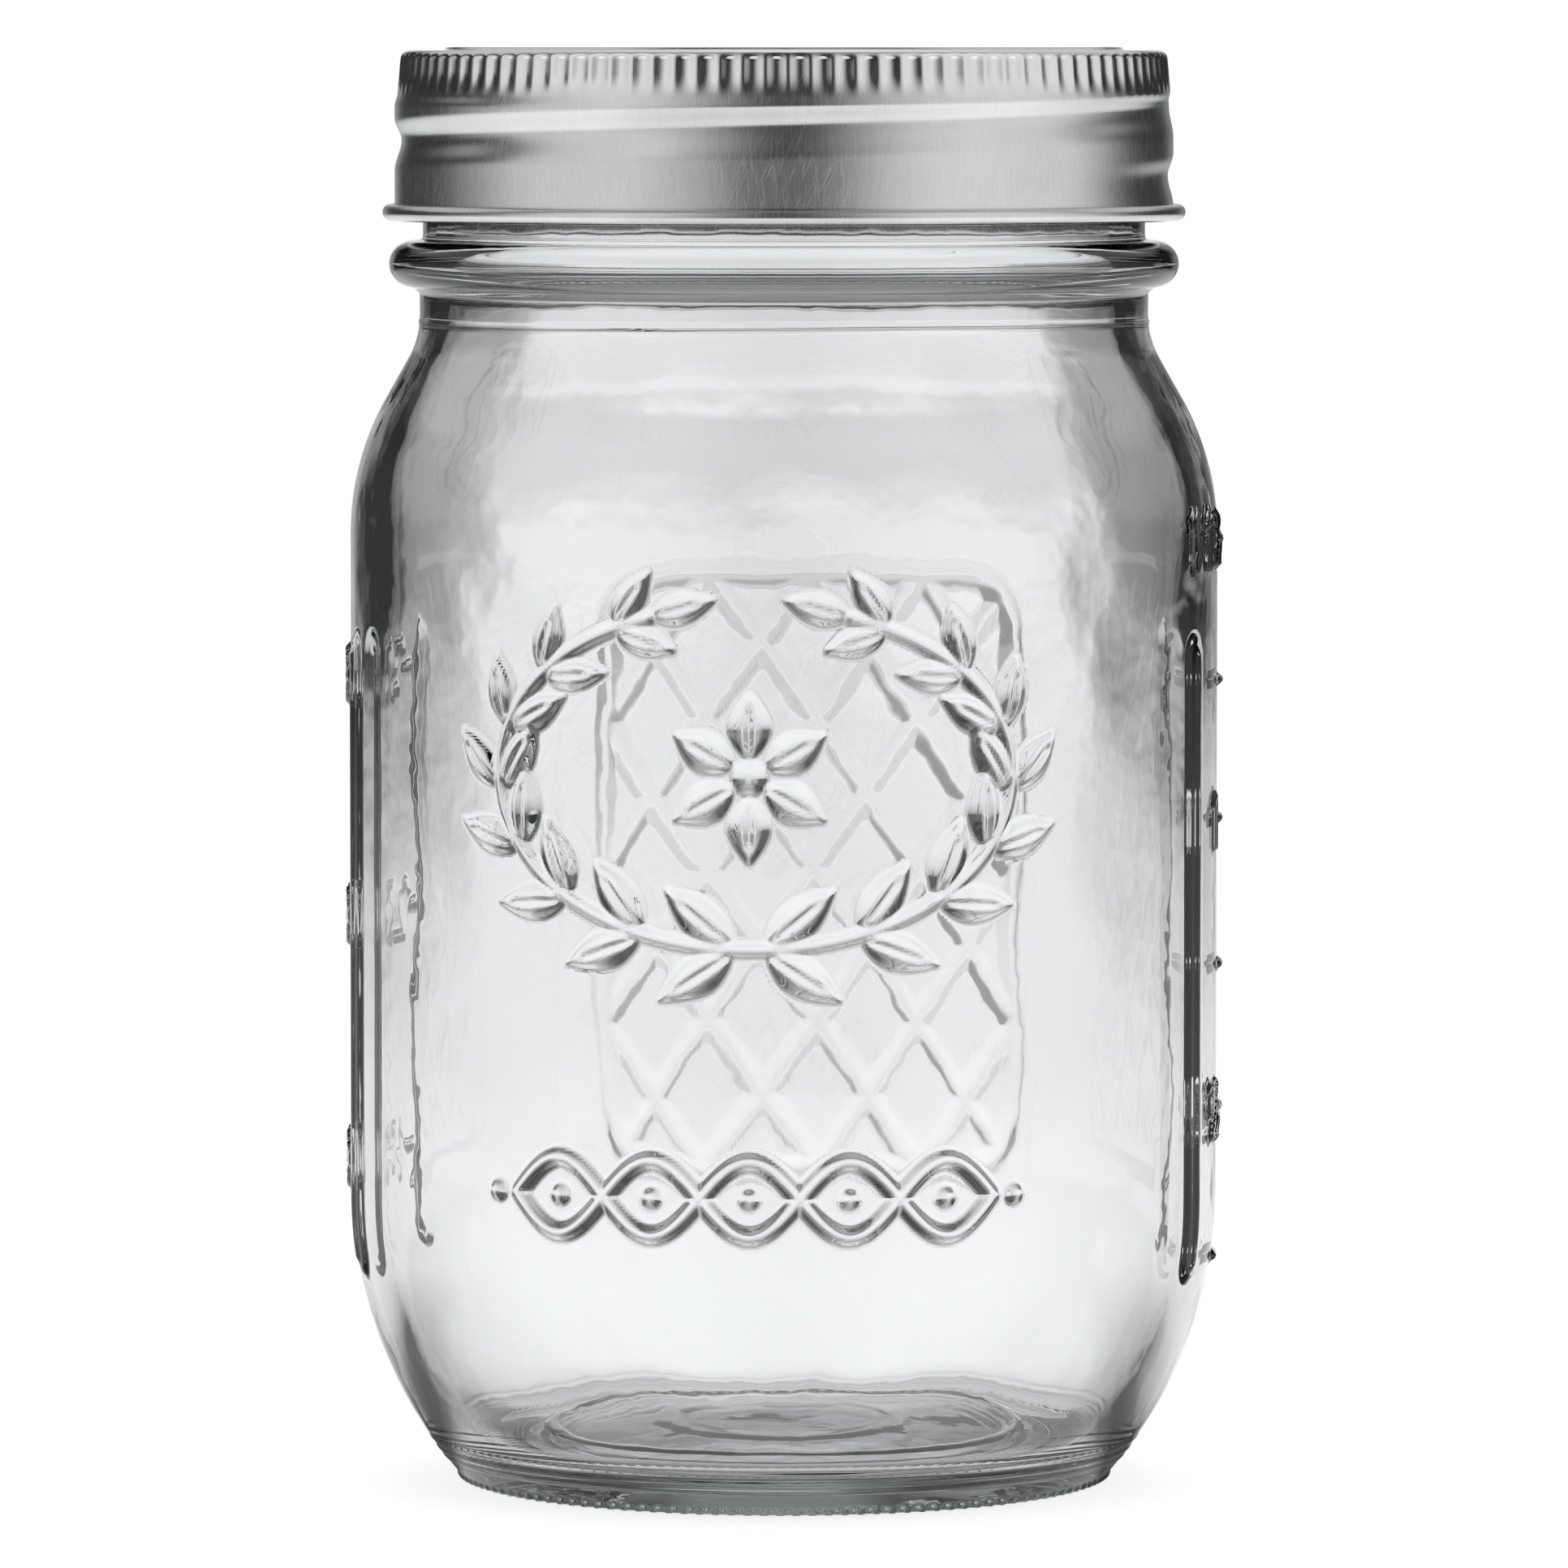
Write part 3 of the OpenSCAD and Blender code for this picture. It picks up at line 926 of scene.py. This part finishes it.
def band_outline():
    """The closed section of the band's sheet: over the outside to the curl and back inside."""
    wall = [(CORNER_BAND[0] + CORNER_BAND_R, CORNER_BAND[1]), (FLUTE_R, FLUTE_Z), (BAND_R, STEP_Z)]
    inner_wall = [(r - BAND_T, z) for r, z in wall]
    lip_top = BAND_TOP + LIP_H
    lip_edge = (LIP_R, lip_top - LIP_H / 2)
    flange = BAND_TOP - BAND_T
    inner_curl = arc(CURL_CENTRE, CURL_R - BAND_T, 180, CURL_END)
    outer_curl = arc(CURL_CENTRE, CURL_R, CURL_END, 180)
    line = chain([
        ([lip_edge, (LIP_R + LIP_H / 3, lip_top), (LIP_R + LIP_H, lip_top)], 0.08),
        ([(LIP_R + LIP_H, lip_top), (LIP_R + LIP_W, BAND_TOP), (CORNER_BAND[0], BAND_TOP)], 0.2),
        (arc(CORNER_BAND, CORNER_BAND_R, 90, 0), 0.12),
        (wall, 0.18),
        ([(BAND_R, STEP_Z), (BAND_R, CURL_CENTRE[1])], 0.22),
        (inner_curl, 0.12),
        ([inner_curl[-1], outer_curl[0]], 0.12),
        (outer_curl, 0.12),
        ([(BAND_R - BAND_T, CURL_CENTRE[1]), (BAND_R - BAND_T, STEP_Z)], 0.3),
        (inner_wall[::-1], 0.3),
        (arc(CORNER_BAND, CORNER_BAND_R - BAND_T, 0, 90), 0.15),
        ([(CORNER_BAND[0], flange), (LIP_R + LIP_W - LIP_H, flange), lip_edge], 0.3),
    ], passes=1)
    return line[:-1]


def band_height(line, turn):
    """Flutes and rolled thread: how far the sheet is pressed in from its plain section."""
    z = line[:, 1][:, None]
    wave = (1 + np.cos(np.radians(turn) * FLUTES)) / 2
    reach = smooth_step((BAND_TOP - FLUTE_TOP[0] - z) / FLUTE_TOP[1])
    reach = reach * smooth_step((z - FLUTE_FOOT[0]) / FLUTE_FOOT[1])
    reach = reach * smooth_step((line[:, 0] - FLUTE_OUT[0]) / FLUTE_OUT[1])[:, None]
    height = -FLUTE_DEPTH * reach * wave[None, :] ** FLUTE_FLATNESS
    on_wall = smooth_step((z - CURL_CENTRE[1] - GROOVE_FOOT[0]) / GROOVE_FOOT[1])
    on_wall = on_wall * smooth_step((GROOVE_TOP[0] - z) / GROOVE_TOP[1])
    for along, strength in helix(turn, *GROOVE_RUN):
        off = z - (GROOVE_Z + PITCH * along / 360)[None, :]
        part = np.where(off > 0, off / GROOVE_UP, off / GROOVE_DOWN)
        dip = (1 + np.cos(math.pi * np.clip(part, -1, 1))) / 2
        height = height - GROOVE_DEPTH * strength * dip * on_wall
    return height


def build_band(material):
    """The fluted screw band, one sheet with an open curl."""
    turn = np.arange(BAND_COLUMNS) * 360 / BAND_COLUMNS - 180
    line = band_outline()
    radius = line[:, 0, None] + band_height(line, turn)
    points = spin(radius, line[:, 1, None], turn[None, :])
    faces = ring_quads(0, len(line), BAND_COLUMNS, closed=True, flipped=True)
    return add_piece("screw_band_sheet", points.reshape(-1, 3), faces, "band", "screw_band",
                     [material])


LID_COLUMNS = 288
PANEL_DROP = 0.45
PANEL_R = 23.5
PANEL_RISE = 0.35
PANEL_SLOPE = 1
DOME_R = 13.5
DOME_RISE = 0.4


def lid_face(thickness):
    """One face of the lid's sheet, from the axis out and down to its turned edge."""
    flat = LID_Z + thickness - PANEL_DROP
    panel = flat + PANEL_RISE
    top = LID_Z + thickness
    centre = (LID_R - LID_EDGE_R, LID_Z + LID_T - LID_EDGE_R)
    edge = LID_EDGE_R - LID_T + thickness
    channel = SEAL_R[0] - LID_T
    return chain([
        (dome(DOME_R, panel, DOME_RISE), 0.6),
        ([(DOME_R, panel), (PANEL_R, panel)], 0.5),
        ([(PANEL_R, panel), (PANEL_R + PANEL_SLOPE, flat), (channel - PANEL_SLOPE, flat)], 0.25),
        ([(channel - PANEL_SLOPE, flat), (channel, top), (centre[0], top)], 0.2),
        (arc(centre, edge, 90, 0), 0.08),
        ([(centre[0] + edge, centre[1]), (centre[0] + edge, LID_Z - LID_SKIRT)], 0.1),
    ])


def build_lid(top_material, under_material):
    """The flat lid, bright on top and enamelled underneath."""
    turn = np.arange(LID_COLUMNS) * 360 / LID_COLUMNS
    top, under = lid_face(LID_T), lid_face(0)[::-1]
    line = np.concatenate((top[1:], under[:-1]))
    rings = spin(line[:, 0, None], line[:, 1, None], turn[None, :])
    poles = np.array(((0, 0, top[0, 1]), (0, 0, under[-1, 1]))) * MM
    points = np.concatenate((poles[:1], rings.reshape(-1, 3), poles[1:]))
    last_ring = 1 + (len(line) - 1) * LID_COLUMNS
    faces = ring_fan(0, 1, LID_COLUMNS, False)
    faces += ring_quads(1, len(line), LID_COLUMNS)
    faces += ring_fan(len(points) - 1, last_ring, LID_COLUMNS, True)
    outward = [face[::-1] for face in faces]
    piece = add_piece("lid_disc_sheet", points, outward, "lid", "lid_disc",
                      [top_material, under_material])
    coated_from = LID_COLUMNS * len(top)
    for polygon in piece.data.polygons[coated_from:]:
        polygon.material_index = 1
    return piece


def build_seal(material):
    """Sealing compound with rounded lower edges, pressed by the rim of the glass."""
    turn = np.arange(LID_COLUMNS) * 360 / LID_COLUMNS
    low, high = SEAL_Z, LID_Z
    inner, outer = SEAL_R
    middle = (inner + outer) / 2
    line = chain([
        ([(inner, high), (inner, low + SEAL_ROUND)], 0.15),
        (arc((inner + SEAL_ROUND, low + SEAL_ROUND), SEAL_ROUND, 180, 270), 0.08),
        ([(inner + SEAL_ROUND, low), (middle, low), (outer - SEAL_ROUND, low)], 0.3),
        (arc((outer - SEAL_ROUND, low + SEAL_ROUND), SEAL_ROUND, -90, 0), 0.08),
        ([(outer, low + SEAL_ROUND), (outer, high)], 0.15),
        ([(outer, high), (inner, high)], 0.4),
    ], passes=1)[:-1]
    points = spin(line[:, 0, None], line[:, 1, None], turn[None, :])
    faces = ring_quads(0, len(line), LID_COLUMNS, closed=True)
    return add_piece("sealing_ring_compound", points.reshape(-1, 3), faces, "lid", "sealing_ring",
                     [material])


# Brightness of the studio round the jar, by angle from the camera's side, plus to its right
STUDIO = (
    (-180, 0.42), (-172.5, 0.42), (-163, 0.40), (-159, 0.04), (-122, 0.04), (-100, 0.35),
    (-80, 0.70), (-48, 0.72), (-24, 0.45), (-14, 0.10), (-9, 0.03), (9, 0.03), (14, 0.10),
    (26, 0.50), (45, 0.80), (94, 0.74), (105, 0.50), (116, 0.16), (128, 0.03), (156, 0.03),
    (161, 0.28), (172.5, 0.30), (180, 0.42),
)
# The same above the level of the soft boxes, and shares by the sine of the height angle
OVERHEAD = (
    (-180, 0.95), (-173, 0.90), (-164, 0.03), (-112, 0.03), (-96, 0.10), (-82, 0.70), (-45, 0.80),
    (-30, 0.55), (-15, 0.20), (-5, 0.05), (8, 0.05), (18, 0.25), (35, 0.60), (55, 0.80), (90, 0.75),
    (108, 0.30), (122, 0.04), (161, 0.03), (170, 0.90), (180, 0.95),
)
OVERHEAD_SHARE = ((0.0, 0.0), (0.535, 0.0), (0.59, 1.0), (1.0, 1.0))
ZENITH = ((0.0, 1.0), (0.9, 1.0), (0.97, 0.4), (1.0, 0.35))
# Even light from the ceiling behind, by angle round and by height
CEILING = ((-180, 0.55), (-115, 0.55), (-100, 0.0), (100, 0.0), (115, 0.55), (180, 0.55))
CEILING_SHARE = ((0.0, 0.0), (0.62, 0.0), (0.70, 1.0), (1.0, 1.0))
# The rear of the studio is dimmer just above the white background
REAR = ((-180, 1.0), (-163, 1.0), (-153, 0.0), (153, 0.0), (163, 1.0), (180, 1.0))
REAR_DIM = ((0.0, 0.0), (0.53, 0.0), (0.56, 0.5), (0.64, 0.5), (0.70, 0.0), (1.0, 0.0))
# Share of the white background that metal and glass show, by angle round and by height near level
BACKGROUND = ((-180, 1.0), (-174.5, 1.0), (-172.5, 0.0), (172.5, 0.0), (174.5, 1.0), (180, 1.0))
LEVEL_RANGE = 0.06
BACKGROUND_UP = ((0.0, 0.87), (0.10, 1.0), (0.20, 0.97), (0.28, 0.75), (0.4, 0.62), (1.0, 0.70))
WHITE = (1, 1, 1, 1)


def turn_stops(table):
    """Stops of a ramp over a whole turn, from angles in degrees."""
    return [(angle / 360 + 0.5, tone) for angle, tone in table]


def studio_world():
    """Soft boxes and flags round the object, and a white background that metal and glass show too."""
    world = bpy.data.worlds.new("studio")
    bpy.context.scene.world = world
    nodes = Nodes(world)
    way = nodes.add("ShaderNodeTexCoord").outputs["Generated"]
    turned = nodes.add("ShaderNodeVectorRotate", {"rotation_type": "Z_AXIS"}, Vector=way,
                       Angle=-math.radians(PHOTO_TURN))
    x, y, z = nodes.add("ShaderNodeSeparateXYZ", Vector=turned.outputs[0]).outputs
    share = nodes.plus(nodes.times(nodes.bearing(x, y), 1 / (2 * math.pi)), 0.5)
    around = nodes.ramp(share, turn_stops(STUDIO))
    overhead = nodes.ramp(share, turn_stops(OVERHEAD))
    behind = nodes.ramp(share, turn_stops(BACKGROUND))
    rear = nodes.ramp(share, turn_stops(REAR))
    ceiling = nodes.ramp(share, turn_stops(CEILING))
    upward = nodes.plus(nodes.times(z, 0.5), 0.5)
    near_level = nodes.plus(nodes.times(z, 0.5 / LEVEL_RANGE), 0.5)
    high = nodes.times(overhead, nodes.ramp(upward, ZENITH))
    above = nodes.ramp(upward, OVERHEAD_SHARE)
    level = nodes.plus(around, nodes.times(nodes.minus(high, around), above))
    dim = nodes.times(rear, nodes.ramp(upward, REAR_DIM))
    level = nodes.times(level, nodes.minus(1.0, dim))
    level = nodes.larger(level, nodes.times(ceiling, nodes.ramp(upward, CEILING_SHARE)))
    studio = nodes.add("ShaderNodeBackground", Color=WHITE, Strength=level)
    white = nodes.add("ShaderNodeBackground", Color=WHITE, Strength=1.0)
    rays = nodes.add("ShaderNodeLightPath").outputs
    pane = nodes.times(behind, nodes.ramp(near_level, BACKGROUND_UP))
    pane = nodes.times(pane, nodes.minus(1.0, above))
    shown = nodes.larger(rays["Is Camera Ray"], nodes.times(nodes.mirrored(rays), pane))
    mix = nodes.mix_shader(shown, studio, white)
    nodes.add("ShaderNodeOutputWorld", Surface=mix.outputs[0])


FLOOR_SIZE = 2.0
FLOOR_SIDES = 96
FLOOR_DROP = 0.0002
FLOOR_GLOW = 0.80
# Paint of the table and its solidity out of the camera's sight, by distance over the floor's size;
# the paint is darker round the jar's foot, a painted shadow
FLOOR_PAINT_AND_SHADE = ((0.0, 0.60), (0.014, 0.40), (0.024, 0.80), (1.0, 0.80))
FLOOR_SOLID = ((0.0, 1.0), (0.22, 1.0), (0.8, 0.0))
# Glow of the table in the jar's reflections, by the same distance: painted light, with painted shade
# that darkens it round the jar's foot
FLOOR_AHEAD = (
    (0.0, 0.32), (0.0105, 0.32), (0.0135, 0.05), (0.015, 0.15), (0.018, 0.33), (0.05, 0.42),
    (0.09, 0.54), (1.0, 0.54),
)
FLOOR_BEHIND = (
    (0.0, 0.32), (0.0105, 0.32), (0.0135, 0.05), (0.015, 0.15), (0.021, 0.52), (0.035, 0.71),
    (0.07, 0.71), (0.12, 0.64), (0.22, 0.53), (1.0, 0.52),
)
# A painted ring of light on the table round the jar's foot, where the glass would shed light, by
# distance over the size given
FOOT_RANGE = 0.05
PAINTED_FOOT_LIGHT = ((0.0, 0.0), (0.54, 0.0), (0.58, 0.36), (0.66, 0.36), (0.74, 0.0), (1.0, 0.0))
# Share of the glow behind, and strength of the whole, by angle from the front over a half turn; the
# strength paints the glow lighter at some angles and darker at others
FLOOR_SIDE = ((0.0, 0.0), (0.55, 0.0), (0.85, 1.0), (1.0, 1.0))
FLOOR_ROUND = (
    (0.0, 1.0), (0.2, 1.0), (0.28, 1.3), (0.42, 1.3), (0.66, 0.80), (0.75, 0.90), (0.9, 1.0),
)
# Painted shade on the table beside the foot, out of the camera's sight: by angle over a half turn and
# by distance
SIDE_SHADE_ROUND = ((0.0, 0.0), (0.42, 0.0), (0.47, 1.0), (0.60, 1.0), (0.68, 0.0), (1.0, 0.0))
SIDE_SHADE_RANGE = 0.2
SIDE_SHADE_REACH = ((0.0, 1.0), (0.35, 1.0), (0.55, 0.0), (1.0, 0.0))
SIDE_SHADE_STRENGTH = 0.8


def table_material():
    """Pale paint that glows like the white background and keeps the jar's soft shadow, with painted
    shade round the foot, and painted light and shade in what metal and glass show.
    """
    material = bpy.data.materials.new("pale_table")
    nodes = Nodes(material)
    place = nodes.add("ShaderNodeTexCoord").outputs["Object"]
    length = nodes.add("ShaderNodeVectorMath", {"operation": "LENGTH"})
    nodes.feed(length.inputs[0], place)
    distance = length.outputs["Value"]
    share = nodes.math("DIVIDE", distance, FLOOR_SIZE)
    x, y, _ = nodes.add("ShaderNodeSeparateXYZ", Vector=place).outputs
    half_turns = nodes.math("DIVIDE", nodes.math("ABSOLUTE", nodes.bearing(x, y)), math.pi)
    rays = nodes.add("ShaderNodeLightPath").outputs
    mirrored = nodes.mirrored(rays)
    # Painted shade on the table beside the foot, in what metal and glass show
    reach = nodes.ramp(nodes.math("DIVIDE", distance, SIDE_SHADE_RANGE), SIDE_SHADE_REACH)
    side_shade = nodes.times(reach, nodes.ramp(half_turns, SIDE_SHADE_ROUND))
    side_shade = nodes.times(nodes.times(side_shade, mirrored), SIDE_SHADE_STRENGTH)
    lit = nodes.minus(1.0, side_shade)
    # Painted light and shade of the table, as metal and glass show it
    ahead = nodes.ramp(share, FLOOR_AHEAD)
    gain = nodes.minus(nodes.ramp(share, FLOOR_BEHIND), ahead)
    under = nodes.plus(ahead, nodes.times(gain, nodes.ramp(half_turns, FLOOR_SIDE)))
    under = nodes.times(under, nodes.ramp(half_turns, FLOOR_ROUND))
    # A painted ring of light round the foot
    foot = nodes.math("DIVIDE", distance, FOOT_RANGE)
    under = nodes.times(nodes.plus(under, nodes.ramp(foot, PAINTED_FOOT_LIGHT)), lit)
    direct = nodes.times(rays["Is Camera Ray"], FLOOR_GLOW)
    shine = nodes.add("ShaderNodeEmission", Strength=nodes.plus(direct, nodes.times(mirrored, under)))
    # Painted shadow: the table's paint is darker round the jar's foot
    paint = nodes.times(nodes.ramp(share, FLOOR_PAINT_AND_SHADE), lit)
    matt = nodes.add("ShaderNodeBsdfDiffuse", Color=paint)
    both = nodes.add("ShaderNodeAddShader")
    nodes.feed(both.inputs[0], shine.outputs[0])
    nodes.feed(both.inputs[1], matt.outputs[0])
    clear = nodes.add("ShaderNodeBsdfTransparent")
    solid = nodes.larger(nodes.ramp(share, FLOOR_SOLID), rays["Is Camera Ray"])
    mix = nodes.mix_shader(solid, clear, both)
    nodes.add("ShaderNodeOutputMaterial", Surface=mix.outputs[0])
    return material


def studio_floor():
    """A round, pale table top just under the jar."""
    mesh = bpy.data.meshes.new("floor")
    a = np.linspace(0, 2 * math.pi, FLOOR_SIDES, endpoint=False)
    rim = np.column_stack((np.cos(a), np.sin(a), 0 * a)) * FLOOR_SIZE
    rim[:, 2] = -FLOOR_DROP
    mesh.from_pydata(rim.tolist(), [], [list(range(FLOOR_SIDES))])
    mesh.materials.append(table_material())
    floor = bpy.data.objects.new("floor", mesh)
    bpy.context.scene.collection.objects.link(floor)


# Metres, and millimetres for the lens and its sensor
CAMERA_DISTANCE = 1.050
CAMERA_HEIGHT = 0.1336
CAMERA_AIM = 0.06485
CAMERA_NEAR = 0.01
CAMERA_LENS = 258.8
CAMERA_SENSOR = 36.0


def photo_camera():
    """The camera at the photograph's view."""
    data = bpy.data.cameras.new("photo_view")
    data.lens = CAMERA_LENS
    data.sensor_width = CAMERA_SENSOR
    data.clip_start = CAMERA_NEAR
    camera = bpy.data.objects.new("photo_view", data)
    turn = math.radians(PHOTO_TURN)
    across, back = CAMERA_DISTANCE * math.sin(turn), CAMERA_DISTANCE * math.cos(turn)
    camera.location = (across, -back, CAMERA_HEIGHT)
    aim = Vector((0, 0, CAMERA_AIM)) - camera.location
    camera.rotation_euler = aim.to_track_quat("-Z", "Y").to_euler()
    bpy.context.scene.collection.objects.link(camera)
    bpy.context.scene.camera = camera


# Dark and pale tone, roughness, and patches to a metre
ENAMEL = ((0.82, 0.82, 0.80), (0.90, 0.90, 0.88), 0.35, 120.0)
COMPOUND = ((0.16, 0.155, 0.15), (0.22, 0.215, 0.205), 0.6, 200.0)

build_jar(glass_material())
build_band(tinplate_material("band_tinplate_rolled", True))
build_lid(tinplate_material("lid_tinplate_sheet", False), coated_material("lid_enamel", *ENAMEL))
build_seal(coated_material("sealing_compound", *COMPOUND))
studio_floor()
studio_world()
photo_camera()
bpy.context.scene.view_settings.view_transform = "Standard"
